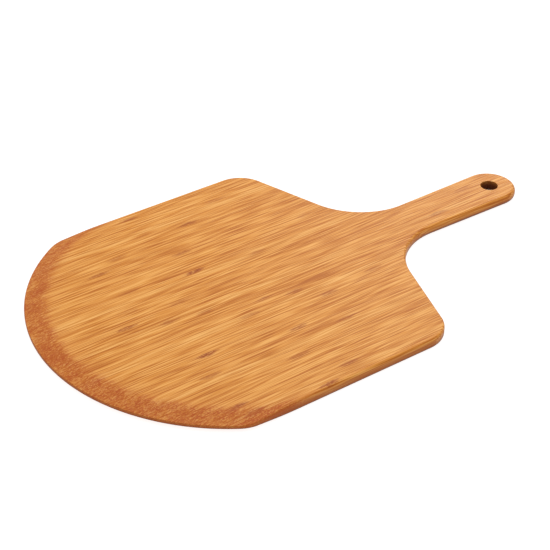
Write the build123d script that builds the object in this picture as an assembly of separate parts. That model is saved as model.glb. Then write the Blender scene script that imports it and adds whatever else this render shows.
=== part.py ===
"""Pizza peel: a flat bamboo board with a short handle, glued up from full-length strips.

Units are millimetres. The board lies flat on Z = 0 with +Z up, and +X runs from the rounded front
edge of the blade to the end of the handle. The origin is the bottom centre of the whole board.
Left and right are those of someone holding the handle and looking towards the front edge.
"""

from build123d import *
import math
import os

# Overall sizes
OVERALL_LENGTH = 488.0  # front edge to handle end
BLADE_WIDTH = 305.0  # a 12 inch blade
THICKNESS = 9.0
EDGE_ROUND = 2.4  # round-over along every edge but the front one

# Strips, side by side across the whole width, with a glue line on the centre line
STRIP_COUNT = 50
HANDLE_STRIP_COUNT = 8  # the middle strips, which run on through the handle
STRIP_WIDTH = BLADE_WIDTH / STRIP_COUNT

# Blade outline
FRONT_RADIUS = 175.5  # the broad front arc
FRONT_CORNER_RADIUS = 29.0  # where the arc turns into the straight sides
SHOULDER_FROM_TIP = 287.0  # where the side line and the shoulder line would meet
SHOULDER_SLOPE = 0.32  # how far the shoulder runs back for each millimetre inwards
SHOULDER_RADIUS = 29.0
NECK_RADIUS = 62.5

# Handle outline
HANDLE_END_RADIUS = 24.3
HANDLE_FLARE = math.radians(0.75)  # each side opens out by this much towards the end
HANG_HOLE_RADIUS = 8.0
HANG_HOLE_RIM_ROUND = 0.5

# Launching bevels, one on each face along the front arc
BEVEL_WIDTH = 17.0
FRONT_EDGE_THICKNESS = 3.0
FRONT_EDGE_ROUND = 1.0

# Places that follow from the sizes
TIP_X = -OVERALL_LENGTH / 2
HALF_WIDTH = BLADE_WIDTH / 2
FRONT_CENTRE_X = TIP_X + FRONT_RADIUS
HANDLE_CENTRE_X = OVERALL_LENGTH / 2 - HANDLE_END_RADIUS
BEVEL_SLOPE = (THICKNESS - FRONT_EDGE_THICKNESS) / 2 / BEVEL_WIDTH
CUTTER_MARGIN = 20.0  # how far the cutting shapes reach past the board


def side_corners():
    """Corners of one half of the outline before rounding, from the front arc to the handle's end."""
    arc_meets_side = (FRONT_CENTRE_X - math.sqrt(FRONT_RADIUS**2 - HALF_WIDTH**2), HALF_WIDTH)
    shoulder = (TIP_X + SHOULDER_FROM_TIP, HALF_WIDTH)
    handle_end = (
        HANDLE_CENTRE_X - HANDLE_END_RADIUS * math.sin(HANDLE_FLARE),
        HANDLE_END_RADIUS * math.cos(HANDLE_FLARE),
    )
    # the neck corner is where the shoulder line crosses the side of the handle
    flare = math.tan(HANDLE_FLARE)
    half_width_at_shoulder = handle_end[1] - flare * (handle_end[0] - shoulder[0])
    inward = (HALF_WIDTH - half_width_at_shoulder) / (1 + flare * SHOULDER_SLOPE)
    neck = (shoulder[0] + SHOULDER_SLOPE * inward, HALF_WIDTH - inward)
    return arc_meets_side, shoulder, neck, handle_end


def opposite(point):
    """The same point on the other side of the centre line."""
    return point[0], -point[1]


def board_outline():
    """The flat outline of the whole board, with every corner rounded."""
    arc_meets_side, shoulder, neck, handle_end = side_corners()
    radii = {arc_meets_side: FRONT_CORNER_RADIUS, shoulder: SHOULDER_RADIUS, neck: NECK_RADIUS}
    with BuildSketch() as outline:
        with BuildLine():
            ThreePointArc(opposite(arc_meets_side), (TIP_X, 0), arc_meets_side)
            Polyline(arc_meets_side, shoulder, neck, handle_end)
            ThreePointArc(handle_end, (OVERALL_LENGTH / 2, 0), opposite(handle_end))
            Polyline(opposite(handle_end), opposite(neck), opposite(shoulder), opposite(arc_meets_side))
        make_face()
        for corner, radius in radii.items():
            for spot in (corner, opposite(corner)):
                fillet(outline.vertices().sort_by_distance((*spot, 0))[0], radius)
    return outline.sketch


def rounded_slab():
    """The outline at full thickness, with its top and bottom edges rounded over."""
    slab = extrude(board_outline(), THICKNESS)
    rims = slab.faces().filter_by(Axis.Z).edges()
    return fillet(rims, EDGE_ROUND)


def bevel_section():
    """Radial section of what the top bevel takes off: along from the front arc's centre, and up."""
    start = (FRONT_RADIUS - BEVEL_WIDTH - CUTTER_MARGIN, THICKNESS + BEVEL_SLOPE * CUTTER_MARGIN)
    end = (FRONT_RADIUS + CUTTER_MARGIN, THICKNESS - BEVEL_SLOPE * (BEVEL_WIDTH + CUTTER_MARGIN))
    return make_face(Polyline(start, end, (end[0], start[1]), close=True))


def bevelled_board():
    """The slab with both launching bevels, and the thin edge between them eased."""
    radial_plane = Plane(origin=(FRONT_CENTRE_X, 0, 0), x_dir=(0, 1, 0), z_dir=(1, 0, 0))
    arc_axis = Axis((FRONT_CENTRE_X, 0, 0), (0, 0, 1))
    top_cutter = revolve(radial_plane * bevel_section(), arc_axis, 180)
    bottom_cutter = mirror(top_cutter, Plane.XY.offset(THICKNESS / 2))
    board = rounded_slab() - top_cutter - bottom_cutter
    bevel_edges = [edge for bevel in board.faces().filter_by(GeomType.CONE) for edge in bevel.edges()]
    return fillet([edge for edge in bevel_edges if edge.geom_type != GeomType.CIRCLE], FRONT_EDGE_ROUND)


def with_hang_hole(board):
    """The board with its hanging hole drilled through and both of the hole's rims eased."""
    hole_middle = (HANDLE_CENTRE_X, 0, THICKNESS / 2)
    drilled = board - Pos(hole_middle) * Cylinder(HANG_HOLE_RADIUS, THICKNESS * 2)
    wall = drilled.faces().filter_by(GeomType.CYLINDER).sort_by_distance(hole_middle)[0]
    return fillet(wall.edges().filter_by(GeomType.CIRCLE), HANG_HOLE_RIM_ROUND)


def strip_name(index):
    """Name of a strip, where index counts across from the left edge of the blade."""
    side_count = (STRIP_COUNT - HANDLE_STRIP_COUNT) // 2
    if index < side_count:
        return f"left_blade_strip_{side_count - index:02d}"
    if index < side_count + HANDLE_STRIP_COUNT:
        return f"handle_strip_{index - side_count + 1}"
    return f"right_blade_strip_{index - side_count - HANDLE_STRIP_COUNT + 1:02d}"


def strip_pieces(board, index):
    """One strip of the board between its two glue lines, as its separate pieces from the front back."""
    middle_y = -HALF_WIDTH + STRIP_WIDTH * (index + 0.5)
    strip_space = Pos(0, middle_y, THICKNESS / 2) * Box(OVERALL_LENGTH * 2, STRIP_WIDTH, THICKNESS * 2)
    return (board & strip_space).solids().sort_by(Axis.X)


def main():
    """Write a STEP file for each strip, and for each end that the hanging hole cuts off one."""
    os.makedirs("parts", exist_ok=True)
    board = with_hang_hole(bevelled_board())
    for index in range(STRIP_COUNT):
        name = strip_name(index)
        for suffix, piece in zip(("", "_end"), strip_pieces(board, index)):
            export_step(piece, f"parts/{name}{suffix}.step")


main()
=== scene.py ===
"""Looks of the bamboo pizza peel: every glued strip as a finished piece, on a plain pale stage."""

import logging
import math
import random
from dataclasses import dataclass, field
from enum import Enum

import bmesh
import bpy
from mathutils import Color, Matrix, Vector


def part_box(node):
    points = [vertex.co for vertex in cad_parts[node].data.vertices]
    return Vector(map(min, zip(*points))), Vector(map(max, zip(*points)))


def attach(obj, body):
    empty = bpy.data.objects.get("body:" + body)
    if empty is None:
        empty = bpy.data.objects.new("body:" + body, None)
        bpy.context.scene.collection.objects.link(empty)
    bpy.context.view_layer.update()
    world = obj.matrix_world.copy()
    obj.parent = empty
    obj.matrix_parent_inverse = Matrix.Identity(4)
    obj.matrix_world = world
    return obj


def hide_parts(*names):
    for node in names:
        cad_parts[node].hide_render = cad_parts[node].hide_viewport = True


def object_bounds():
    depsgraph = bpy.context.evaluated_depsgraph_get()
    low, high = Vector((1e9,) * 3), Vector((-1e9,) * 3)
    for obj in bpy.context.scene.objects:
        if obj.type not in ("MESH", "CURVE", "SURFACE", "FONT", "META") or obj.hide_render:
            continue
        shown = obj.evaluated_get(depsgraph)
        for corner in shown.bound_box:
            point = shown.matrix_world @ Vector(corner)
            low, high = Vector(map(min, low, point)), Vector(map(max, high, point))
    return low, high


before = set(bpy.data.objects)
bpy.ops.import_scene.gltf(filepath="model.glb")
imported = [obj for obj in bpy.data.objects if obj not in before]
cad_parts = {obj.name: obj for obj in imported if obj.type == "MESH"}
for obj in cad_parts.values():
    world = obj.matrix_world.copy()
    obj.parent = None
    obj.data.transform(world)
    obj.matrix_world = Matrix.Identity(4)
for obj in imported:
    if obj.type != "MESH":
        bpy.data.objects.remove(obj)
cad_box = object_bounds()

log = logging.getLogger("pizza_peel")

MM = 0.001
HALF = 0.5
FULL_CHANNEL = 255
STRIP_LABELS = ("strip_shade", "strip_seed", "rind_side", "first_ring", "second_ring", "ring_strength")
FEWEST_ARC_STEPS = 12
LONGEST_ARC_STEP = 2.5 * MM
SHARP_ANGLE = math.radians(40)
UPRIGHT = 0.1
LYING = 0.5

GrainSize = tuple[float, float, float]


class StripTone(Enum):
    """How dark the culm was that a strip came from."""

    PALE = "pale"
    HONEY = "honey"
    TOASTED = "toasted"


@dataclass(frozen=True)
class BoardShape:
    """The sizes of the whole board that the strips and their finish share, in metres.

    Attributes:
        tip_x: Where the front edge is.
        half_width: From the centre line to either side of the blade.
        thickness: Of the board away from its bevels.
        strip_width: Between two glue lines.
        front_radius: Of the arc that the front edge follows.
        bevel_width: From the front edge to where the flat face starts.
        hole_x: Where the middle of the hanging hole is.
        hole_radius: Of the hanging hole.
    """

    tip_x: float
    half_width: float
    thickness: float
    strip_width: float
    front_radius: float = 0.1755
    bevel_width: float = 0.017
    hole_x: float = 0.2197
    hole_radius: float = 0.008

    @classmethod
    def from_frame(cls) -> "BoardShape":
        """Measures the board on the CAD nodes.

        Returns:
            The board's sizes.
        """
        low, high = cad_box
        strip_low, strip_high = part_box("handle_strip_5")
        return cls(low.x, high.y, high.z - low.z, strip_high.y - strip_low.y)

    @property
    def front_centre_x(self) -> float:
        """Where the centre of the front arc is."""
        return self.tip_x + self.front_radius


class NodeSheet:
    """Places shader nodes in one tree and links them, so that a pattern reads as a formula."""

    def __init__(self, tree: bpy.types.NodeTree) -> None:
        """Takes the tree to fill."""
        self.tree = tree

    def add(self, kind: str, **settings: object) -> bpy.types.Node:
        """Adds one node.

        Args:
            kind: The node's type name without its ShaderNode start.
            **settings: Values for the node's own properties.

        Returns:
            The new node.
        """
        node = self.tree.nodes.new(kind if kind.startswith("Node") else f"ShaderNode{kind}")
        for name, value in settings.items():
            setattr(node, name, value)
        return node

    def feed(self, socket: bpy.types.NodeSocket, value: object) -> None:
        """Links a socket to another node's output, or sets it to a plain value."""
        if isinstance(value, bpy.types.NodeSocket):
            self.tree.links.new(value, socket)
        else:
            socket.default_value = value

    def math(self, operation: str, *values: object, clamp: bool = False) -> bpy.types.NodeSocket:
        """Adds a Math node.

        Args:
            operation: The node's operation.
            *values: Its inputs in order, as outputs or numbers.
            clamp: Whether the result is held between 0 and 1.

        Returns:
            The result's socket.
        """
        node = self.add("Math", operation=operation, use_clamp=clamp)
        for socket, value in zip(node.inputs, values):
            self.feed(socket, value)
        return node.outputs[0]

    def ramp(self, value: object, low: object, high: object) -> bpy.types.NodeSocket:
        """A smooth step from 0 at low to 1 at high, or back down when low is above high.

        Args:
            value: What is stepped.
            low: Where the step is 0.
            high: Where the step is 1.

        Returns:
            The step's socket.
        """
        node = self.add("MapRange", interpolation_type="SMOOTHSTEP")
        self.feed(node.inputs["Value"], value)
        self.feed(node.inputs["From Min"], low)
        self.feed(node.inputs["From Max"], high)
        return node.outputs["Result"]

    def blend(self, share: object, first: object, second: object) -> bpy.types.NodeSocket:
        """Mixes two colours.

        Args:
            share: How much of the second colour shows.
            first: The colour at a share of 0.
            second: The colour at a share of 1.

        Returns:
            The mixed colour's socket.
        """
        node = self.add("Mix", data_type="RGBA")
        self.feed(node.inputs[0], share)
        self.feed(node.inputs[6], first)
        self.feed(node.inputs[7], second)
        return node.outputs[2]

    def parts(self, vector: object) -> bpy.types.bpy_prop_collection:
        """Splits a vector into its X, Y and Z outputs."""
        node = self.add("SeparateXYZ")
        self.feed(node.inputs[0], vector)
        return node.outputs

    def swing(self, value: object, weight: object, base: object = 0.0) -> bpy.types.NodeSocket:
        """Adds the swing of a value about its middle to a base.

        Args:
            value: A value that runs from 0 to 1.
            weight: What its swing about a half is multiplied by.
            base: What the swing is added to.

        Returns:
            The sum's socket.
        """
        return self.math("MULTIPLY_ADD", self.math("SUBTRACT", value, HALF), weight, base)

    def level_distance(self, place: object, x: float) -> bpy.types.NodeSocket:
        """Measures, as seen from above, how far a place is from a point on the centre line.

        Args:
            place: The coordinates.
            x: Where the point is.

        Returns:
            The distance's socket.
        """
        level = self.add("VectorMath", operation="MULTIPLY")
        self.feed(level.inputs[0], place)
        level.inputs[1].default_value = (1, 1, 0)
        reach = self.add("VectorMath", operation="DISTANCE")
        self.feed(reach.inputs[0], level.outputs[0])
        reach.inputs[1].default_value = (x, 0, 0)
        return reach.outputs["Value"]

    def stretched_noise(
        self, place: object, grain: GrainSize, detail: float, seed: object = 0.0
    ) -> bpy.types.NodeSocket:
        """Noise whose grains have a given size along each axis.

        Args:
            place: The coordinates, in metres.
            grain: The size of a grain along X, Y and Z, in metres.
            detail: How many finer layers there are.
            seed: Which of the many patterns it is.

        Returns:
            The noise's value socket, from 0 to 1.
        """
        scale = self.add("VectorMath", operation="MULTIPLY")
        self.feed(scale.inputs[0], place)
        scale.inputs[1].default_value = [1 / size for size in grain]
        noise = self.add("TexNoise", noise_dimensions="4D")
        self.feed(noise.inputs["Vector"], scale.outputs[0])
        self.feed(noise.inputs["W"], seed)
        noise.inputs["Scale"].default_value = 1.0
        noise.inputs["Detail"].default_value = detail
        return noise.outputs["Fac"]


class EffectGroup:
    """A shader node group with named inputs and outputs, made once for every finish that uses it."""

    def __init__(self, name: str, inputs: dict[str, str], outputs: dict[str, str]) -> None:
        """Makes the group's sockets.

        Args:
            name: The group's name.
            inputs: Socket type of each input by name, such as Float, Vector or Color.
            outputs: Socket type of each output by name.
        """
        self.tree = bpy.data.node_groups.new(name, "ShaderNodeTree")
        for in_out, sockets in (("INPUT", inputs), ("OUTPUT", outputs)):
            for label, kind in sockets.items():
                self.tree.interface.new_socket(label, in_out=in_out, socket_type=f"NodeSocket{kind}")
        self.sheet = NodeSheet(self.tree)
        self.given = self.sheet.add("NodeGroupInput").outputs
        self.result = self.sheet.add("NodeGroupOutput").inputs

    def put_out(self, **values: object) -> None:
        """Feeds the group's outputs, which are named with spaces for underscores."""
        for label, value in values.items():
            self.sheet.feed(self.result[label.replace("_", " ")], value)

    def place(self, sheet: NodeSheet, **values: object) -> bpy.types.bpy_prop_collection:
        """Places the group in a material.

        Args:
            sheet: The material's node sheet.
            **values: The group's inputs, named with underscores for spaces.

        Returns:
            The group's outputs.
        """
        node = sheet.add("Group", node_tree=self.tree)
        for label, value in values.items():
            sheet.feed(node.inputs[label.replace("_", " ")], value)
        return node.outputs


@dataclass
class OutlinePen:
    """Draws an outline in a mesh, one straight run or arc after another.

    Attributes:
        mesh: The mesh that is drawn in.
        start: The outline's first point, on the board's middle plane.
        height: Of that plane.
    """

    mesh: bmesh.types.BMesh
    start: Vector
    height: float

    def __post_init__(self) -> None:
        """Sets the pen down at its start."""
        self.tip = self.mesh.verts.new((self.start.x, self.start.y, self.height))

    @property
    def at(self) -> Vector:
        """Where the pen is, in the plane."""
        return self.tip.co.xy

    @staticmethod
    def steps(angle: float, radius: float) -> int:
        """Counts the steps that draw an arc smoothly.

        Args:
            angle: How far it turns.
            radius: Its radius.

        Returns:
            Enough steps that none is longer than the longest, and no fewer than the fewest.
        """
        return max(FEWEST_ARC_STEPS, math.ceil(abs(angle) * radius / LONGEST_ARC_STEP))

    def line_to(self, point: Vector) -> None:
        """Draws a straight run to a point."""
        grown = bmesh.ops.extrude_vert_indiv(self.mesh, verts=[self.tip])
        self.tip = grown["verts"][0]
        self.tip.co = (point.x, point.y, self.height)

    def arc(self, centre: Vector, angle: float) -> None:
        """Draws an arc from where the pen is.

        Args:
            centre: The arc's centre.
            angle: How far it turns, positive for anticlockwise from above.
        """
        drawn = bmesh.ops.spin(
            self.mesh, geom=[self.tip], cent=(centre.x, centre.y, self.height), axis=(0, 0, 1),
            angle=angle, steps=self.steps(angle, (self.at - centre).length),
        )
        self.tip = next(part for part in drawn["geom_last"] if isinstance(part, bmesh.types.BMVert))

    def rounded_corner(self, corner: Vector, after: Vector, radius: float) -> None:
        """Draws a straight run up to a corner and an arc round it.

        Args:
            corner: Where the two straight runs would meet.
            after: A point that the run after the corner heads for.
            radius: Of the arc.
        """
        back = (self.at - corner).normalized()
        onward = (after - corner).normalized()
        half_angle = back.angle(onward) / 2
        self.line_to(corner + back * radius / math.tan(half_angle))
        centre = corner + (back + onward).normalized() * radius / math.sin(half_angle)
        turn = math.pi - 2 * half_angle
        left_turn = back.x * onward.y - back.y * onward.x < 0
        self.arc(centre, turn if left_turn else -turn)


@dataclass
class BoardBlank:
    """The right-hand half of the glued board, shaped and ready to be parted at its glue lines.

    Attributes:
        shape: The sizes that the whole board shares.
        corner_radius: Where the front arc turns into a side.
        shoulder_from_tip: From the front edge to where a side and its shoulder line would meet.
        shoulder_slope: How far the shoulder runs back for each metre inwards.
        shoulder_radius: Of the shoulder's corner.
        neck_radius: Of the hollow between the shoulder and the handle.
        handle_end_radius: Of the round end of the handle.
        handle_flare: How much each side of the handle opens out towards its end.
        front_edge: Thickness of the front edge between its two bevels.
        bevel_softening: How far a bevel fades out over the flat face.
        bevel_passes: How many flats that fade is planed in, with the bevel itself.
        rim_round: Of the blade's rims.
        grip_round: Of the handle's rims, which are fuller in the hand.
        grip_from_tip: From the front edge to where the rims start to fill out.
        grip_fade: Over what length they do.
        front_round: Of the thin front edge.
        hole_round: Of the hanging hole's rims.
        round_steps: How many flats a rim is rounded in.
        touch: How near a point counts as on a cut.
        weld: How near two points of the lengths' joint count as one.
    """

    shape: BoardShape
    corner_radius: float = 29 * MM
    shoulder_from_tip: float = 287 * MM
    shoulder_slope: float = 0.32
    shoulder_radius: float = 29 * MM
    neck_radius: float = 62.5 * MM
    handle_end_radius: float = 24.3 * MM
    handle_flare: float = math.radians(0.75)
    front_edge: float = 3 * MM
    bevel_softening: float = 3.5 * MM
    bevel_passes: int = 4
    rim_round: float = 2.4 * MM
    grip_round: float = 3.6 * MM
    grip_from_tip: float = 316 * MM
    grip_fade: float = 44 * MM
    front_round: float = 1.0 * MM
    hole_round: float = 0.5 * MM
    round_steps: int = 6
    touch: float = 1e-6
    weld: float = 5e-6

    @property
    def middle(self) -> float:
        """Height of the board's middle plane."""
        return self.shape.thickness / 2

    @property
    def corner_angle(self) -> float:
        """How far the front arc turns from its middle to where the corner begins."""
        rise = self.shape.half_width - self.corner_radius
        return math.asin(rise / (self.shape.front_radius - self.corner_radius))

    @property
    def bevel_slope(self) -> float:
        """How much the bevel falls for each metre towards the front edge."""
        return (self.middle - self.front_edge / 2) / self.shape.bevel_width

    def build(self) -> bmesh.types.BMesh:
        """Shapes the half board: its upper half in two lengths, joined and then mirrored downwards.

        Returns:
            A closed mesh with a flat wall on the centre line.
        """
        upper = self._front_length()
        rear = self._rear_length()
        rear_data = bpy.data.meshes.new("rear_length")
        rear.to_mesh(rear_data)
        rear.free()
        upper.from_mesh(rear_data)
        bpy.data.meshes.remove(rear_data)
        joint = self.shape.front_centre_x
        inner = [
            face for face in upper.faces
            if all(abs(vert.co.z - self.middle) < self.touch for vert in face.verts)
            or all(abs(vert.co.x - joint) < self.touch for vert in face.verts)
        ]
        bmesh.ops.delete(upper, geom=inner, context="FACES")
        bmesh.ops.remove_doubles(upper, verts=upper.verts[:], dist=self.weld)
        everything = upper.verts[:] + upper.edges[:] + upper.faces[:]
        mirror_plane = Matrix.Translation((0, 0, -self.middle))
        bmesh.ops.mirror(upper, geom=everything, matrix=mirror_plane, merge_dist=self.touch, axis="Z")
        bmesh.ops.remove_doubles(upper, verts=upper.verts[:], dist=self.touch)
        bmesh.ops.recalc_face_normals(upper, faces=upper.faces[:])
        return upper

    def _raise_outline(self, slab: bmesh.types.BMesh) -> None:
        """Closes a drawn outline and gives it the board's upper half thickness.

        Args:
            slab: The mesh with the outline's edges.
        """
        bmesh.ops.remove_doubles(slab, verts=slab.verts[:], dist=self.touch)
        bmesh.ops.contextual_create(slab, geom=slab.edges[:])
        raised = bmesh.ops.extrude_face_region(slab, geom=slab.faces[:], use_keep_orig=True)
        top = [part for part in raised["geom"] if isinstance(part, bmesh.types.BMVert)]
        bmesh.ops.translate(slab, vec=(0, 0, self.middle), verts=top)
        bmesh.ops.recalc_face_normals(slab, faces=slab.faces[:])

    def _rims(self, slab: bmesh.types.BMesh) -> list[bmesh.types.BMEdge]:
        """Finds the upper rims of a slab, without those of its flat cuts.

        Args:
            slab: The mesh to look at.

        Returns:
            The edges between an outer wall and the upper face.
        """
        slab.normal_update()
        rims = []
        for edge in slab.edges:
            wall, face = sorted(edge.link_faces, key=lambda side: abs(side.normal.z))
            on_centre_line = max(vert.co.y for vert in edge.verts) < self.touch
            on_joint = all(abs(vert.co.x - self.shape.front_centre_x) < self.touch for vert in edge.verts)
            is_rim = abs(wall.normal.z) < UPRIGHT and face.normal.z > LYING
            if is_rim and not on_centre_line and not on_joint:
                rims.append(edge)
        return rims

    def _front_length(self) -> bmesh.types.BMesh:
        """Shapes the length in front of the arc's centre, with its launching bevel.

        Returns:
            The upper half of that length.
        """
        shape = self.shape
        slab = bmesh.new()
        pen = OutlinePen(slab, Vector((shape.tip_x, 0)), self.middle)
        front_centre = Vector((shape.front_centre_x, 0))
        reach = shape.front_radius - self.corner_radius
        angle = self.corner_angle
        corner_centre = front_centre + Vector((-math.cos(angle), math.sin(angle))) * reach
        pen.arc(front_centre, -angle)
        pen.arc(corner_centre, angle - math.pi / 2)
        pen.line_to(Vector((shape.front_centre_x, shape.half_width)))
        pen.line_to(front_centre)
        pen.line_to(pen.start)
        self._raise_outline(slab)
        self._plane_bevel(slab)
        self._plane_rims(slab)
        return slab

    def _plane_bevel(self, slab: bmesh.types.BMesh) -> None:
        """Planes the bevel along the front arc, softened where it meets the face.

        Args:
            slab: The mesh to cut.
        """
        shape = self.shape
        centre = Vector((shape.front_centre_x, 0, shape.thickness))
        stroke_turn = self.corner_angle / OutlinePen.steps(self.corner_angle, shape.front_radius)
        fan = math.asin(shape.half_width / (shape.front_radius - shape.bevel_width)) + stroke_turn
        for level in range(self.bevel_passes, 0, -1):
            share = level / self.bevel_passes
            start = shape.bevel_width + self.bevel_softening * (1 - share)
            for stroke in range(math.ceil(fan / stroke_turn)):
                angle = (stroke + 0.5) * stroke_turn
                outward = Vector((-math.cos(angle), math.sin(angle), 0))
                place = centre + outward * (shape.front_radius - start)
                cut_flat(slab, place, outward * self.bevel_slope * share + Vector((0, 0, 1)), self.touch)

    def _plane_rims(self, slab: bmesh.types.BMesh) -> None:
        """Rounds the upper rims stroke by stroke, least along the thin front edge.

        Args:
            slab: The mesh to cut, whose outline has no hollows.
        """
        low_wall = self.front_edge / 2
        strokes = []
        for edge in self._rims(slab):
            wall, face = sorted(edge.link_faces, key=lambda side: abs(side.normal.z))
            rim = (edge.verts[0].co + edge.verts[1].co) / 2
            rise = max(rim.z - self.middle - low_wall, 0) / (self.middle - low_wall)
            radius = self.front_round + (self.rim_round - self.front_round) * rise
            turn = wall.normal.angle(face.normal)
            inward = (wall.normal + face.normal) * radius / (1 + wall.normal.dot(face.normal))
            for step in range(self.round_steps):
                facing = wall.normal.slerp(face.normal, (step + 0.5) / self.round_steps)
                depth = radius * math.cos(turn / 2 / self.round_steps)
                strokes.append((rim - inward + facing * depth, facing))
        for place, facing in strokes:
            cut_flat(slab, place, facing, self.touch)

    def _rear_length(self) -> bmesh.types.BMesh:
        """Shapes the length behind the front arc's centre, with the handle and its hole.

        Returns:
            The upper half of that length.
        """
        shape = self.shape
        slab = bmesh.new()
        pen = OutlinePen(slab, Vector((shape.front_centre_x, 0)), self.middle)
        flare = math.tan(self.handle_flare)
        handle_centre = Vector((shape.hole_x, 0))
        outward = Vector((-math.sin(self.handle_flare), math.cos(self.handle_flare)))
        handle_end = handle_centre + outward * self.handle_end_radius
        shoulder = Vector((shape.tip_x + self.shoulder_from_tip, shape.half_width))
        half_width_at_shoulder = handle_end.y - flare * (handle_end.x - shoulder.x)
        inward = (shape.half_width - half_width_at_shoulder) / (1 + flare * self.shoulder_slope)
        neck = shoulder + Vector((self.shoulder_slope, -1)) * inward
        pen.line_to(Vector((shape.front_centre_x, shape.half_width)))
        pen.rounded_corner(shoulder, neck, self.shoulder_radius)
        pen.rounded_corner(neck, handle_end, self.neck_radius)
        pen.line_to(handle_end)
        pen.arc(handle_centre, -math.pi / 2 - self.handle_flare)
        pen.line_to(handle_centre + Vector((shape.hole_radius, 0)))
        pen.arc(handle_centre, math.pi)
        pen.line_to(pen.start)
        self._raise_outline(slab)
        return self._round_rear_rims(slab)

    def _round_rear_rims(self, slab: bmesh.types.BMesh) -> bmesh.types.BMesh:
        """Rounds the upper rims behind the front length, fullest on the handle and least at the hole.

        Args:
            slab: The mesh to round, which is used up.

        Returns:
            The rounded mesh.
        """
        shape = self.shape
        hole_middle = Vector((shape.hole_x, 0))
        weights = slab.edges.layers.float.new("bevel_weight_edge")
        for edge in self._rims(slab):
            middle = (edge.verts[0].co + edge.verts[1].co) / 2
            if (middle.xy - hole_middle).length < shape.hole_radius + self.touch:
                radius = self.hole_round
            else:
                along = (middle.x - shape.tip_x - self.grip_from_tip) / self.grip_fade
                share = min(max(along, 0), 1)
                radius = self.rim_round + (self.grip_round - self.rim_round) * share
            edge[weights] = radius / self.grip_round
        bench = new_piece("rear_length", slab)
        rounding = bench.modifiers.new("rims", "BEVEL")
        rounding.limit_method = "WEIGHT"
        rounding.width = self.grip_round
        rounding.segments = self.round_steps
        rounding.profile = 0.5
        rounding.use_clamp_overlap = False
        depsgraph = bpy.context.evaluated_depsgraph_get()
        rounded = bmesh.new()
        rounded.from_mesh(bench.evaluated_get(depsgraph).to_mesh())
        spent = bench.data
        bpy.data.objects.remove(bench)
        bpy.data.meshes.remove(spent)
        return rounded


def cut_flat(mesh: bmesh.types.BMesh, place: Vector, outward: Vector, touch: float) -> None:
    """Cuts off what lies beyond a plane and closes the cut.

    Args:
        mesh: The mesh to cut.
        place: A point on the plane.
        outward: The plane's direction towards what goes.
        touch: How near a point counts as on the plane.
    """
    everything = mesh.verts[:] + mesh.edges[:] + mesh.faces[:]
    cut = bmesh.ops.bisect_plane(
        mesh, geom=everything, dist=touch, plane_co=place, plane_no=outward, clear_outer=True
    )
    rim = [part for part in cut["geom_cut"] if isinstance(part, bmesh.types.BMEdge) and part.is_boundary]
    if rim:
        bmesh.ops.holes_fill(mesh, edges=rim, sides=0)


def new_piece(name: str, mesh: bmesh.types.BMesh) -> bpy.types.Object:
    """Makes an object of a finished mesh, which is used up.

    Args:
        name: The object's name.
        mesh: Its shape, in place.

    Returns:
        The object, linked to the scene.
    """
    data = bpy.data.meshes.new(name)
    mesh.to_mesh(data)
    mesh.free()
    piece = bpy.data.objects.new(name, data)
    bpy.context.scene.collection.objects.link(piece)
    return piece


@dataclass(frozen=True)
class GrowthRings:
    """The growth rings of one culm that show on its strip.

    Attributes:
        first: How far the first one is from the front edge.
        strength: How dark they are, from 0 to 1.
        second: How far the second one is, which by default is past the end of the board.
    """

    first: float
    strength: float
    second: float = 1.0


@dataclass
class Strip:
    """One bamboo strip, glued edge to edge with its neighbours.

    Attributes:
        name: The CAD node that it stands for.
        inner: From the centre line to its inner glue line.
        outer: From the centre line to its outer glue line.
        side: 1 right of the centre line and -1 left of it.
        behind_hole: Whether it is an end piece that the hanging hole cuts off.
        tone: How dark its culm was.
        shade: A small step darker or paler within that tone.
        seed: Picks its own fibres.
        rind_side: 1 where its dense outer fibres face away from the left edge, or -1.
        rings: Its growth rings.
    """

    name: str
    inner: float
    outer: float
    side: int
    behind_hole: bool
    tone: StripTone
    shade: float
    seed: float
    rind_side: int
    rings: GrowthRings

    def build(self, blank: bmesh.types.BMesh, shape: BoardShape, touch: float) -> bpy.types.Object:
        """Parts the strip from the board.

        Args:
            blank: The half board, which is left as it is.
            shape: The sizes of the board.
            touch: How near a point counts as on a cut.

        Returns:
            The finished strip.
        """
        mesh = blank.copy()
        if self.inner > touch:
            cut_flat(mesh, Vector((0, self.inner, 0)), Vector((0, -1, 0)), touch)
        if self.outer < shape.half_width - touch:
            cut_flat(mesh, Vector((0, self.outer, 0)), Vector((0, 1, 0)), touch)
        if self.outer < shape.hole_radius:
            rearward = Vector((-1 if self.behind_hole else 1, 0, 0))
            cut_flat(mesh, Vector((shape.hole_x, 0, 0)), rearward, touch)
        if self.side < 0:
            bmesh.ops.scale(mesh, vec=(1, -1, 1), verts=mesh.verts[:])
        bmesh.ops.recalc_face_normals(mesh, faces=mesh.faces[:])
        for face in mesh.faces:
            face.smooth = True
        piece = new_piece(self.name + "_bamboo", mesh)
        piece.data.set_sharp_from_angle(angle=SHARP_ANGLE)
        even = piece.modifiers.new("flat_faces", "WEIGHTED_NORMAL")
        even.keep_sharp = True
        self._mark(piece.data, shape.tip_x)
        return piece

    def _mark(self, data: bpy.types.Mesh, tip_x: float) -> None:
        """Stores on the mesh what the finish needs to know about this strip.

        Args:
            data: The strip's mesh.
            tip_x: Where the front edge is, which its rings are measured from.
        """
        numbers = {
            "strip_shade": self.shade,
            "strip_seed": self.seed,
            "rind_side": float(self.rind_side),
            "first_ring": tip_x + self.rings.first,
            "second_ring": tip_x + self.rings.second,
            "ring_strength": self.rings.strength,
        }
        for label, value in numbers.items():
            layer = data.attributes.new(label, "FLOAT", "POINT")
            layer.data.foreach_set("value", [value] * len(data.vertices))


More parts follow.
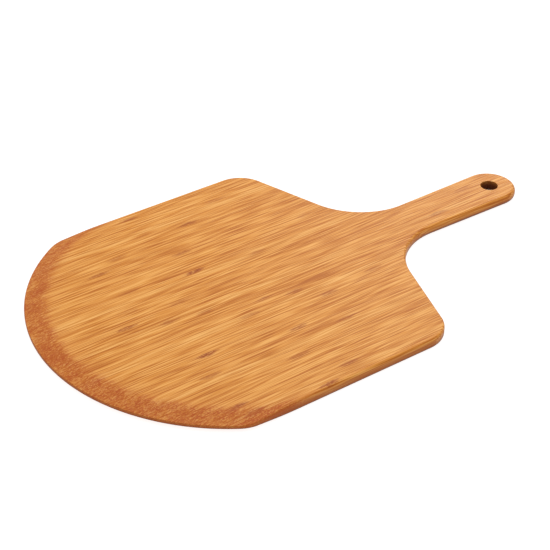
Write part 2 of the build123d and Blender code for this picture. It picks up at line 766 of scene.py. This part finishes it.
@dataclass
class GluedBoard:
    """All the strips of the peel, side by side.

    Attributes:
        shape: The sizes of the board.
        seed: Starts the draws of each strip's growth.
        shades: The lowest, highest and most common shade of a strip.
        pale_below: The shade below which a strip is pale.
        toasted_above: The shade above which a strip is toasted.
        fibre_patterns: How far apart two strips' fibres can be drawn.
        last_ring: How far from the front edge a strip's drawn ring can be.
        faint: How dark such a ring is.
    """

    shape: BoardShape
    seed: int = 11
    shades: tuple[float, float, float] = (-0.45, 0.6, 0.08)
    pale_below: float = -0.4
    toasted_above: float = 0.32
    fibre_patterns: float = 50
    last_ring: float = 480 * MM
    faint: float = 0.12

    def pale_strips(self) -> dict[str, float]:
        """Names the strips that are clearly paler than the rest, each with its shade."""
        return {
            "left_blade_strip_03": -0.9,
            "left_blade_strip_12": -0.45,
            "handle_strip_3": -0.5,
            "right_blade_strip_02": -0.8,
            "right_blade_strip_16": -0.7,
            "left_blade_strip_20": -0.5,
        }

    def known_rings(self) -> dict[str, GrowthRings]:
        """Names the strips whose growth rings show, each with its rings' places from the front edge."""
        return {
            "left_blade_strip_21": GrowthRings(165 * MM, 0.9),
            "left_blade_strip_20": GrowthRings(100 * MM, 0.8),
            "left_blade_strip_19": GrowthRings(193 * MM, 0.6),
            "left_blade_strip_18": GrowthRings(92 * MM, 0.9),
            "left_blade_strip_14": GrowthRings(167 * MM, 0.5),
            "left_blade_strip_11": GrowthRings(95 * MM, 0.55, 227 * MM),
            "left_blade_strip_09": GrowthRings(188 * MM, 0.75),
            "left_blade_strip_07": GrowthRings(107 * MM, 1.0),
            "left_blade_strip_05": GrowthRings(237 * MM, 0.6),
            "left_blade_strip_04": GrowthRings(290 * MM, 0.4),
            "left_blade_strip_03": GrowthRings(165 * MM, 0.4),
            "left_blade_strip_02": GrowthRings(215 * MM, 0.6),
            "left_blade_strip_01": GrowthRings(188 * MM, 0.5),
            "handle_strip_2": GrowthRings(138 * MM, 0.45),
            "handle_strip_3": GrowthRings(105 * MM, 0.6, 393 * MM),
            "handle_strip_5": GrowthRings(73 * MM, 0.8),
            "handle_strip_6": GrowthRings(127 * MM, 0.35, 440 * MM),
            "handle_strip_8": GrowthRings(85 * MM, 0.3),
            "right_blade_strip_02": GrowthRings(223 * MM, 0.35),
            "right_blade_strip_03": GrowthRings(162 * MM, 1.0),
            "right_blade_strip_04": GrowthRings(100 * MM, 0.3),
            "right_blade_strip_06": GrowthRings(292 * MM, 0.35),
            "right_blade_strip_08": GrowthRings(168 * MM, 0.55),
            "right_blade_strip_10": GrowthRings(92 * MM, 0.6),
            "right_blade_strip_12": GrowthRings(118 * MM, 0.4),
            "right_blade_strip_14": GrowthRings(198 * MM, 0.7),
            "right_blade_strip_17": GrowthRings(237 * MM, 0.3),
            "right_blade_strip_20": GrowthRings(158 * MM, 0.6),
        }

    def tone_of(self, shade: float) -> StripTone:
        """Tells which tone of bamboo a strip of some shade is made of."""
        if shade < self.pale_below:
            return StripTone.PALE
        return StripTone.TOASTED if shade > self.toasted_above else StripTone.HONEY

    def strips(self) -> list[Strip]:
        """Plans every strip, in the order of the CAD nodes' names.

        Returns:
            The strips, not built yet.
        """
        pale, rings = self.pale_strips(), self.known_rings()
        planned = []
        for name in sorted(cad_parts):
            low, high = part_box(name)
            side = 1 if low.y + high.y > 0 else -1
            index = math.floor((low.y + high.y) / 2 / self.shape.strip_width)
            first = index if side > 0 else -index - 1
            whole = name.removesuffix("_end")
            growth = random.Random(f"{self.seed} {whole}")
            shade = pale.get(whole, growth.triangular(*self.shades))
            planned.append(
                Strip(
                    name=name,
                    inner=first * self.shape.strip_width,
                    outer=(first + 1) * self.shape.strip_width,
                    side=side,
                    behind_hole=name != whole,
                    tone=self.tone_of(shade),
                    shade=shade,
                    seed=growth.uniform(0, self.fibre_patterns),
                    rind_side=growth.choice((-1, 1)),
                    rings=rings.get(whole, GrowthRings(growth.uniform(0, self.last_ring), self.faint)),
                )
            )
        return planned

    def build(self, finishes: dict[StripTone, bpy.types.Material]) -> list[bpy.types.Object]:
        """Parts, dresses and places every strip.

        Args:
            finishes: The material for each tone.

        Returns:
            The strips.
        """
        board = BoardBlank(self.shape)
        blank = board.build()
        pieces = []
        for strip in self.strips():
            piece = strip.build(blank, self.shape, board.touch)
            piece.data.materials.append(finishes[strip.tone])
            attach(piece, "root")
            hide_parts(strip.name)
            pieces.append(piece)
            log.info("%s: %s, %d faces", piece.name, strip.tone.value, len(piece.data.polygons))
        blank.free()
        return pieces


def linear(red: int, green: int, blue: int) -> tuple[float, float, float, float]:
    """Turns a colour as a screen shows it into the light that it reflects.

    Args:
        red: From 0 to 255.
        green: From 0 to 255.
        blue: From 0 to 255.

    Returns:
        The colour as a shader takes it.
    """
    shown = Color([part / FULL_CHANNEL for part in (red, green, blue)])
    return (*shown.from_srgb_to_scene_linear(), 1.0)


@dataclass(frozen=True)
class FibreGrain:
    """The fibres: broad clouds, long streaks, fine hairlines and the denser rind side of each strip.

    Attributes:
        clouds: Size of a cloud of denser fibres along X, Y and Z.
        streaks: Size of a streak.
        hairs: Size of a hairline.
        cloud_weight: How much the clouds tell in the tone.
        streak_weight: How much the streaks do.
        hair_weight: How much the hairlines do.
        rind_weight: How much the step from the pith side to the rind side does.
        hair_height: How much the hairlines tell in the relief, against 1 for the streaks.
    """

    clouds: GrainSize = (80 * MM, 5 * MM, 5 * MM)
    streaks: GrainSize = (50 * MM, 1.5 * MM, 1.5 * MM)
    hairs: GrainSize = (35 * MM, 0.65 * MM, 0.65 * MM)
    cloud_weight: float = 0.35
    streak_weight: float = 0.9
    hair_weight: float = 8.2
    rind_weight: float = 0.2
    hair_height: float = 0.7

    def build(self) -> EffectGroup:
        """Makes the shader group.

        Returns:
            The group, which puts out a tone around zero and a relief.
        """
        group = EffectGroup(
            "Bamboo grain",
            {"Place": "Vector", "Seed": "Float", "Across": "Float"},
            {"Tone": "Float", "Relief": "Float"},
        )
        sheet, given = group.sheet, group.given
        cloud, streak, hair = (
            sheet.stretched_noise(given["Place"], size, detail=1.0, seed=given["Seed"])
            for size in (self.clouds, self.streaks, self.hairs)
        )
        tone = sheet.swing(cloud, self.cloud_weight)
        tone = sheet.swing(streak, self.streak_weight, tone)
        tone = sheet.swing(hair, self.hair_weight, tone)
        tone = sheet.swing(given["Across"], self.rind_weight, tone)
        group.put_out(Tone=tone, Relief=sheet.swing(hair, self.hair_height, streak))
        return group


@dataclass(frozen=True)
class KnuckleMark:
    """A growth ring: a short dark mark across the strip with torn ends along the fibres.

    Attributes:
        tears: Size of a torn fibre along X, Y and Z.
        tear_length: How far the tears shift the mark along the fibres.
        half_length: Of the mark, along the fibres.
        half_width: Of the mark, in strip widths.
        core: How much of the mark is fully dark, as the square of its share of the size.
        speckles: Size of a speckle in the mark along X, Y and Z.
        speckle_range: Where the speckles' noise starts to show the mark and where it shows it in full.
        step_half_length: Half the length over which the tone changes from one side to the other.
    """

    tears: GrainSize = (16 * MM, 0.9 * MM, 0.9 * MM)
    tear_length: float = 20 * MM
    half_length: float = 11.5 * MM
    half_width: float = 0.52
    core: float = 0.15
    speckles: GrainSize = (3.5 * MM, 0.7 * MM, 0.7 * MM)
    speckle_range: tuple[float, float] = (0.25, 0.6)
    step_half_length: float = 4 * MM

    def build(self) -> EffectGroup:
        """Makes the shader group.

        Returns:
            The group, which puts out a mask and the tone step from one side of the ring to the other.
        """
        group = EffectGroup(
            "Bamboo knuckle",
            {"Place": "Vector", "Ring": "Float", "Across": "Float", "Seed": "Float"},
            {"Mark": "Float", "Step": "Float"},
        )
        sheet, given = group.sheet, group.given
        place, seed = given["Place"], given["Seed"]
        along = sheet.parts(place)["X"]
        torn = sheet.stretched_noise(place, self.tears, detail=2.0, seed=seed)
        off = sheet.swing(torn, self.tear_length, sheet.math("SUBTRACT", along, given["Ring"]))
        length = sheet.math("DIVIDE", off, self.half_length)
        width = sheet.math("DIVIDE", sheet.math("SUBTRACT", given["Across"], HALF), self.half_width)
        far = sheet.math("ADD", sheet.math("POWER", length, 2.0), sheet.math("POWER", width, 2.0))
        speckle = sheet.stretched_noise(place, self.speckles, detail=2.0, seed=seed)
        mark = sheet.ramp(far, 1.0, self.core)
        mark = sheet.math("MULTIPLY", mark, sheet.ramp(speckle, *self.speckle_range))
        group.put_out(Mark=mark, Step=sheet.ramp(off, -self.step_half_length, self.step_half_length))
        return group


@dataclass(frozen=True)
class WorkedEdgesAndShade:
    """Where a tool has cut across the fibres, the front bevels, rims, walls and hole, and where the walls
    and lower rims are darkened with painted shade.

    Attributes:
        shape: The sizes of the board.
        tears: Size of a torn fibre at the bevel's inner edge, along X, Y and Z.
        tear_length: How far the tears shift that edge.
        fade_inwards: From the bevel's inner edge to where its colour has gone.
        fade_outwards: From the bevel's inner edge to where its colour is full.
        haze_length: How far a faint part of that colour reaches over the face.
        haze_share: How strong that faint part is.
        turn_length: How far ahead of the front arc's centre the bevel's colour is full.
        patches: Size of a patch on the bevel along X, Y and Z.
        patch_weight: How much the patches tell among the dots.
        dots: Size of a cut fibre's dot along X, Y and Z.
        wall_range: The upward share of the normal where a wall begins and where it is full.
        wall_top: How strong a wall's colour is at its top.
        foot_shade_gain: How much stronger it is at the foot, as painted shade.
        end_range: The endways share of the normal where end grain begins and where it is full.
        hole_margin: Beyond the hole's radius, where its colour has gone and where it is full.
        rim_shade_range: The upward share of the normal where the painted shadow on the lower rim begins and
            where it is full.
    """

    shape: BoardShape
    tears: GrainSize = (30 * MM, 2.2 * MM, 2.2 * MM)
    tear_length: float = 18 * MM
    fade_inwards: float = 7 * MM
    fade_outwards: float = 4 * MM
    haze_length: float = 24 * MM
    haze_share: float = 0.16
    turn_length: float = 30 * MM
    patches: GrainSize = (30 * MM, 11 * MM, 11 * MM)
    patch_weight: float = 0.45
    dots: GrainSize = (1.8 * MM, 0.6 * MM, 0.6 * MM)
    wall_range: tuple[float, float] = (0.985, 0.68)
    wall_top: float = 0.4
    foot_shade_gain: float = 0.95
    end_range: tuple[float, float] = (0.25, 0.85)
    hole_margin: tuple[float, float] = (0.7 * MM, 0.1 * MM)
    rim_shade_range: tuple[float, float] = (0.15, -0.45)

    def build(self) -> EffectGroup:
        """Makes the shader group.

        Returns:
            The group, which puts out a mask for each cut part, with painted shade in the wall and lower rim
            masks, and the dots of the cut fibres.
        """
        group = EffectGroup(
            "Worked edges and painted shade",
            {"Place": "Vector", "Facing": "Vector"},
            dict.fromkeys(("Bevel", "Dots", "Wall", "Lower rim", "End grain", "Hole"), "Float"),
        )
        sheet, place = group.sheet, group.given["Place"]
        facing = sheet.parts(group.given["Facing"])
        patches = sheet.stretched_noise(place, self.patches, detail=2.0)
        dots = sheet.stretched_noise(place, self.dots, detail=3.0)
        # the wall and lower rim masks carry painted shade: walls darken towards the foot and the lower rims
        # get a painted shadow
        wall = self._wall(sheet, sheet.parts(place)["Z"], facing["Z"])
        radius = self.shape.hole_radius
        from_hole = sheet.level_distance(place, self.shape.hole_x)
        group.put_out(
            Bevel=self._bevel(sheet, place),
            Dots=sheet.swing(patches, self.patch_weight, dots),
            Wall=wall,
            Lower_rim=sheet.math("MULTIPLY", wall, sheet.ramp(facing["Z"], *self.rim_shade_range)),
            End_grain=sheet.ramp(sheet.math("ABSOLUTE", facing["X"]), *self.end_range),
            Hole=sheet.ramp(from_hole, *(radius + margin for margin in self.hole_margin)),
        )
        return group

    def _bevel(self, sheet: NodeSheet, place: object) -> bpy.types.NodeSocket:
        """Finds the bevels, torn along the fibres at their inner edge.

        Args:
            sheet: The group's node sheet.
            place: The coordinates.

        Returns:
            The mask's socket.
        """
        shape = self.shape
        torn = sheet.stretched_noise(place, self.tears, detail=2.0)
        reach = sheet.swing(torn, self.tear_length, sheet.level_distance(place, shape.front_centre_x))
        inner = shape.front_radius - shape.bevel_width
        band = sheet.ramp(reach, inner - self.fade_inwards, inner + self.fade_outwards)
        haze = sheet.ramp(reach, inner - self.haze_length, inner)
        band = sheet.math("MULTIPLY", band, 1 - self.haze_share)
        bevel = sheet.math("MULTIPLY_ADD", haze, self.haze_share, band)
        turn = shape.front_centre_x
        ahead = sheet.ramp(sheet.parts(place)["X"], turn, turn - self.turn_length)
        return sheet.math("MULTIPLY", bevel, ahead)

    def _wall(self, sheet: NodeSheet, height: object, upward: object) -> bpy.types.NodeSocket:
        """Finds the walls and rims, darker towards the foot with painted shade.

        Args:
            sheet: The group's node sheet.
            height: Above the surface that the peel lies on.
            upward: The upward share of the normal.

        Returns:
            The mask's socket.
        """
        wall = sheet.ramp(sheet.math("ABSOLUTE", upward), *self.wall_range)
        # painted shade: the wall mask grows stronger towards the foot, where the board meets the floor
        painted_foot_shade = sheet.ramp(height, self.shape.thickness, 0.0)
        return sheet.math("MULTIPLY", wall, sheet.math("MULTIPLY_ADD", painted_foot_shade, self.foot_shade_gain, self.wall_top))


@dataclass(frozen=True)
class GlueLine:
    """How far across its strip a point is, and the hairline of glue on either side of a strip.

    Attributes:
        strip_width: Between two glue lines.
        patches: Size of a stretch where the glue shows along X, Y and Z.
        patch_range: Where the stretches' noise starts to show the glue and where it shows it in full.
    """

    strip_width: float
    patches: GrainSize = (30 * MM, 4 * MM, 4 * MM)
    patch_range: tuple[float, float] = (0.3, 0.6)

    def build(self) -> EffectGroup:
        """Makes the shader group.

        Returns:
            The group, which puts out the share across and the glue line's mask.
        """
        group = EffectGroup(
            "Glue line",
            {"Place": "Vector", "Rind side": "Float", "Line width": "Float"},
            {"Across": "Float", "Line": "Float"},
        )
        sheet, given = group.sheet, group.given
        strips_across = sheet.math("DIVIDE", sheet.parts(given["Place"])["Y"], self.strip_width)
        share = sheet.math("FRACT", strips_across)
        off_middle = sheet.math("ABSOLUTE", sheet.math("SUBTRACT", share, HALF))
        to_edge = sheet.math("MULTIPLY", sheet.math("SUBTRACT", HALF, off_middle), self.strip_width)
        patchy = sheet.stretched_noise(given["Place"], self.patches, detail=1.0)
        line = sheet.ramp(to_edge, given["Line width"], 0.0)
        group.put_out(
            Across=sheet.swing(share, given["Rind side"], HALF),
            Line=sheet.math("MULTIPLY", line, sheet.ramp(patchy, *self.patch_range)),
        )
        return group


@dataclass(frozen=True)
class BambooFinish:
    """Oiled bamboo of one tone.

    Attributes:
        name: The material's name.
        pale: Colour of the softest, palest fibres.
        middle: Colour of most of the face.
        dark: Colour of the densest streaks.
        knuckle: Colour of a growth ring.
        scorched: Colour of the bevels' cut fibres.
        wall: Colour of the side walls, partly their own darker edge and partly painted shade.
        hole: Colour of the hanging hole's wall, and of the painted shadow along the lower rims.
        palest_tone: The tone that shows the pale colour in full.
        darkest_tone: The tone that shows the dark colour in full.
        shade_weight: How much a strip's own shade tells in the tone.
        step_weight: How much the tone changes past a growth ring.
        glue_width: Of the hairline of glue on either side of a strip.
        glue_share: How strongly it shows.
        knuckle_share: How strongly the growth rings show.
        dot_range: Where the dots' noise starts to show a cut fibre and where it shows it in full.
        cut_share: How strongly a bevel's colour shows between the dots.
        cut_dot_share: How much more it shows on a dot.
        wall_share: How strongly a wall's colour shows.
        end_share: How much more it shows on end grain.
        end_dot_share: How much more than that on a dot.
        rim_shade_share: How strongly the painted shadow on the lower rims shows.
        knuckle_height: How much a growth ring adds to the relief.
        dot_height: How much a bevel's dots add to the relief.
        glue_height: How much a glue line adds to the relief.
        relief_strength: Of the whole relief.
        relief_depth: Of the whole relief.
        roughness: Of the oiled face where its fibres lie lowest.
        raised_roughness: How much rougher raised fibres are.
        cut_roughness: How much rougher the bevels are.
    """

    name: str
    pale: tuple[float, ...]
    middle: tuple[float, ...]
    dark: tuple[float, ...]
    knuckle: tuple[float, ...] = linear(140, 60, 10)
    scorched: tuple[float, ...] = linear(163, 69, 18)
    wall: tuple[float, ...] = linear(140, 67, 20)
    hole: tuple[float, ...] = linear(104, 50, 20)
    palest_tone: float = -1.0
    darkest_tone: float = 1.1
    shade_weight: float = 0.06
    step_weight: float = 0.2
    glue_width: float = 0.3 * MM
    glue_share: float = 0.45
    knuckle_share: float = 0.95
    dot_range: tuple[float, float] = (0.38, 0.66)
    cut_share: float = 0.34
    cut_dot_share: float = 0.6
    wall_share: float = 0.6
    end_share: float = 0.2
    end_dot_share: float = 0.3
    rim_shade_share: float = 0.95
    knuckle_height: float = -0.6
    dot_height: float = 0.8
    glue_height: float = -0.5
    relief_strength: float = 0.35
    relief_depth: float = 0.12 * MM
    roughness: float = 0.39
    raised_roughness: float = 0.1
    cut_roughness: float = 0.1

    def build(self, groups: dict[str, EffectGroup]) -> bpy.types.Material:
        """Makes the material.

        Args:
            groups: The shared effects by name.

        Returns:
            The finished material.
        """
        material = bpy.data.materials.new(self.name)
        material.use_nodes = True
        sheet = NodeSheet(material.node_tree)
        material.node_tree.nodes.clear()
        seat = sheet.add("TexCoord")
        place, facing = seat.outputs["Object"], seat.outputs["Normal"]
        stored = {
            label: sheet.add("Attribute", attribute_name=label).outputs["Fac"] for label in STRIP_LABELS
        }
        seed = stored["strip_seed"]

        glue = groups["glue"].place(
            sheet, Place=place, Rind_side=stored["rind_side"], Line_width=self.glue_width
        )
        across = glue["Across"]
        grain = groups["grain"].place(sheet, Place=place, Seed=seed, Across=across)
        first, second = (
            groups["knuckle"].place(sheet, Place=place, Ring=stored[label], Across=across, Seed=seed)
            for label in ("first_ring", "second_ring")
        )
        worked_and_shaded = groups["worked_and_shaded"].place(sheet, Place=place, Facing=facing)
        mark = sheet.math("MAXIMUM", first["Mark"], second["Mark"])
        mark = sheet.math("MULTIPLY", mark, stored["ring_strength"])
        tone = sheet.math("MULTIPLY_ADD", stored["strip_shade"], self.shade_weight, grain["Tone"])
        tone = sheet.swing(first["Step"], self.step_weight, tone)

        face = self._face(sheet, tone, glue["Line"], mark)
        relief = sheet.math("MULTIPLY_ADD", mark, self.knuckle_height, grain["Relief"])
        cut_dots = sheet.math("MULTIPLY", worked_and_shaded["Bevel"], worked_and_shaded["Dots"])
        relief = sheet.math("MULTIPLY_ADD", cut_dots, self.dot_height, relief)
        relief = sheet.math("MULTIPLY_ADD", glue["Line"], self.glue_height, relief)
        rough = sheet.math("MULTIPLY_ADD", grain["Relief"], self.raised_roughness, self.roughness)
        rough = sheet.math("MULTIPLY_ADD", worked_and_shaded["Bevel"], self.cut_roughness, rough)
        self._surface(sheet, self._edges(sheet, face, worked_and_shaded), rough, relief)
        return material

    def _face(self, sheet: NodeSheet, tone: object, line: object, mark: object) -> bpy.types.NodeSocket:
        """Colours the untouched faces.

        Args:
            sheet: The material's node sheet.
            tone: How pale or dark the fibres are, around zero.
            line: Mask of the glue lines.
            mark: Mask of the growth rings.

        Returns:
            The colour's socket.
        """
        low = sheet.ramp(tone, 0.0, self.palest_tone)
        high = sheet.ramp(tone, 0.0, self.darkest_tone)
        colour = sheet.blend(high, sheet.blend(low, self.middle, self.pale), self.dark)
        colour = sheet.blend(sheet.math("MULTIPLY", line, self.glue_share), colour, self.dark)
        return sheet.blend(sheet.math("MULTIPLY", mark, self.knuckle_share), colour, self.knuckle)

    def _edges(
        self, sheet: NodeSheet, face: object, worked_and_shaded: bpy.types.bpy_prop_collection
    ) -> bpy.types.NodeSocket:
        """Colours the bevels, walls and the hole over the face's colour, with partly painted shade on the
        walls and a painted shadow on the lower rims.

        Args:
            sheet: The material's node sheet.
            face: The face's colour.
            worked_and_shaded: The masks of the cut edges and of the painted shade.

        Returns:
            The colour's socket.
        """
        dotted = sheet.ramp(worked_and_shaded["Dots"], *self.dot_range)
        cut = sheet.math("MULTIPLY_ADD", dotted, self.cut_dot_share, self.cut_share)
        colour = sheet.blend(sheet.math("MULTIPLY", worked_and_shaded["Bevel"], cut), face, self.scorched)
        ends = sheet.math("MULTIPLY_ADD", dotted, self.end_dot_share, self.end_share)
        ends = sheet.math("MULTIPLY", worked_and_shaded["End grain"], ends)
        # the walls' darker colour is partly their own edge colour and partly painted shade
        walls = sheet.math("ADD", ends, self.wall_share)
        walls = sheet.math("MULTIPLY", worked_and_shaded["Wall"], walls, clamp=True)
        colour = sheet.blend(walls, colour, self.wall)
        # painted shadow: the lower rims are darkened with the hole's dark brown
        lower = sheet.math("MULTIPLY", worked_and_shaded["Lower rim"], self.rim_shade_share)
        colour = sheet.blend(lower, colour, self.hole)
        return sheet.blend(sheet.math("MULTIPLY", worked_and_shaded["Hole"], worked_and_shaded["Wall"]), colour, self.hole)

    def _surface(self, sheet: NodeSheet, colour: object, rough: object, relief: object) -> None:
        """Puts colour, roughness and relief on the oiled surface.

        Args:
            sheet: The material's node sheet.
            colour: The surface's colour.
            rough: Its roughness.
            relief: Its relief.
        """
        bump = sheet.add("Bump")
        bump.inputs["Strength"].default_value = self.relief_strength
        bump.inputs["Distance"].default_value = self.relief_depth
        sheet.feed(bump.inputs["Height"], relief)
        surface = sheet.add("BsdfPrincipled")
        sheet.feed(surface.inputs["Base Color"], colour)
        sheet.feed(surface.inputs["Roughness"], rough)
        sheet.feed(surface.inputs["Normal"], bump.outputs["Normal"])
        surface.inputs["IOR"].default_value = 1.47
        surface.inputs["Specular IOR Level"].default_value = 0.18
        output = sheet.add("OutputMaterial")
        sheet.feed(output.inputs["Surface"], surface.outputs["BSDF"])


@dataclass
class Studio:
    """The plain stage, its soft lights and the camera.

    Attributes:
        shape: The sizes of the board that stands on it.
        view_azimuth: The camera's turn about the object, in degrees.
        view_elevation: How far it looks down, in degrees.
        distance: From the camera to what it looks at.
        aim: What it looks at.
        lens: Focal length in millimetres.
        sensor_width: Of the camera, in millimetres.
        floor_radius: Of the round floor.
        floor_sides: How many straight sides its rim has.
        floor_gap: How far the floor lies below the object.
        floor_glow: How brightly the white table is lit from below.
        paper_shades: How much light the darkest and the palest of its paper reflect.
        paper_mottle: Size of the paper's mottles.
        room_light: How bright the white room is.
        softboxes: Name, place, size and watts of each soft light.
    """

    shape: BoardShape
    view_azimuth: float = -35.27
    view_elevation: float = 34.77
    distance: float = 1.312
    aim: Vector = field(default_factory=lambda: Vector((-0.0210, 0.0062, 0.0)))
    lens: float = 99.25
    sensor_width: float = 36.0
    floor_radius: float = 9.0
    floor_sides: int = 96
    floor_gap: float = 0.2 * MM
    floor_glow: float = 0.85
    paper_shades: tuple[float, float] = (0.31, 0.33)
    paper_mottle: float = 0.4
    room_light: float = 0.8
    softboxes: tuple[tuple[str, tuple[float, float, float], float, float], ...] = (
        ("overhead", (0.25, 0.35, 1.7), 1.6, 13.0),
        ("beyond_handle", (1.35, 1.1, 0.95), 0.9, 9.0),
    )

    def build(self) -> None:
        """Sets up the camera, the lights and the floor."""
        self._camera()
        self._floor()
        self._world()
        for name, place, size, power in self.softboxes:
            self._softbox(name, Vector(place), size, power)
        bpy.context.scene.view_settings.view_transform = "Standard"

    def _camera(self) -> None:
        """Places the camera."""
        turn, rise = math.radians(self.view_azimuth), math.radians(self.view_elevation)
        back = Vector((math.sin(turn) * math.cos(rise), -math.cos(turn) * math.cos(rise), math.sin(rise)))
        data = bpy.data.cameras.new("camera")
        data.lens = self.lens
        data.sensor_width = self.sensor_width
        camera = bpy.data.objects.new("camera", data)
        camera.location = self.aim + back * self.distance
        camera.rotation_euler = (-back).to_track_quat("-Z", "Y").to_euler()
        bpy.context.scene.collection.objects.link(camera)
        bpy.context.scene.camera = camera
        log.info("camera at %.3f %.3f %.3f", *camera.location)

    def _floor(self) -> None:
        """Lays the round paper floor."""
        mesh = bmesh.new()
        bmesh.ops.create_circle(mesh, cap_ends=True, radius=self.floor_radius, segments=self.floor_sides)
        bmesh.ops.translate(mesh, vec=(0, 0, -self.floor_gap), verts=mesh.verts[:])
        floor = new_piece("studio_floor", mesh)
        material = bpy.data.materials.new("white_paper")
        material.use_nodes = True
        sheet = NodeSheet(material.node_tree)
        surface = material.node_tree.nodes["Principled BSDF"]
        place = sheet.add("TexCoord").outputs["Object"]
        mottle = sheet.stretched_noise(place, (self.paper_mottle,) * 3, detail=1.0)
        dark, pale = ((shade, shade, shade, 1) for shade in self.paper_shades)
        sheet.feed(surface.inputs["Base Color"], sheet.blend(mottle, dark, pale))
        surface.inputs["Emission Color"].default_value = (1, 1, 1, 1)
        # painted shadow: the floor stops glowing inside the hanging hole, so it shows dark there
        shaded_hole_radius = self.shape.hole_radius
        glow = sheet.ramp(sheet.level_distance(place, self.shape.hole_x), shaded_hole_radius, shaded_hole_radius * 2)
        sheet.feed(surface.inputs["Emission Strength"], sheet.math("MULTIPLY", glow, self.floor_glow))
        surface.inputs["Roughness"].default_value = 0.9
        surface.inputs["Specular IOR Level"].default_value = 0.1
        floor.data.materials.append(material)
        log.info("%s: laid", floor.name)

    def _world(self) -> None:
        """Fills the room with even white light."""
        world = bpy.data.worlds.new("white_room")
        world.use_nodes = True
        world.node_tree.nodes["Background"].inputs["Color"].default_value = (1, 1, 1, 1)
        world.node_tree.nodes["Background"].inputs["Strength"].default_value = self.room_light
        bpy.context.scene.world = world

    def _softbox(self, name: str, place: Vector, size: float, power: float) -> None:
        """Hangs one soft light, facing the object.

        Args:
            name: The light's name.
            place: Where it hangs.
            size: The side of its square face.
            power: In watts.
        """
        data = bpy.data.lights.new(name, "AREA")
        data.size = size
        data.energy = power
        light = bpy.data.objects.new(name, data)
        light.location = place
        light.rotation_euler = (-place).to_track_quat("-Z", "Y").to_euler()
        bpy.context.scene.collection.objects.link(light)


def bamboo_finishes(shape: BoardShape) -> dict[StripTone, bpy.types.Material]:
    """Makes the three tones of bamboo around their shared effects.

    Args:
        shape: The sizes of the board.

    Returns:
        The material for each tone.
    """
    groups = {
        "grain": FibreGrain().build(),
        "knuckle": KnuckleMark().build(),
        "worked_and_shaded": WorkedEdgesAndShade(shape).build(),
        "glue": GlueLine(shape.strip_width).build(),
    }
    finishes = {
        StripTone.PALE: BambooFinish(
            "bamboo_pale", linear(225, 168, 93), linear(208, 140, 61), linear(178, 105, 26)
        ),
        StripTone.HONEY: BambooFinish(
            "bamboo_honey", linear(222, 161, 84), linear(203, 132, 50), linear(171, 95, 18)
        ),
        StripTone.TOASTED: BambooFinish(
            "bamboo_toasted", linear(219, 156, 79), linear(200, 128, 47), linear(168, 92, 18)
        ),
    }
    return {tone: finish.build(groups) for tone, finish in finishes.items()}


def main() -> None:
    """Builds the peel and its studio."""
    logging.basicConfig(level=logging.INFO, format="%(name)s: %(message)s")
    shape = BoardShape.from_frame()
    Studio(shape).build()
    GluedBoard(shape).build(bamboo_finishes(shape))


if __name__ == "__main__":
    main()
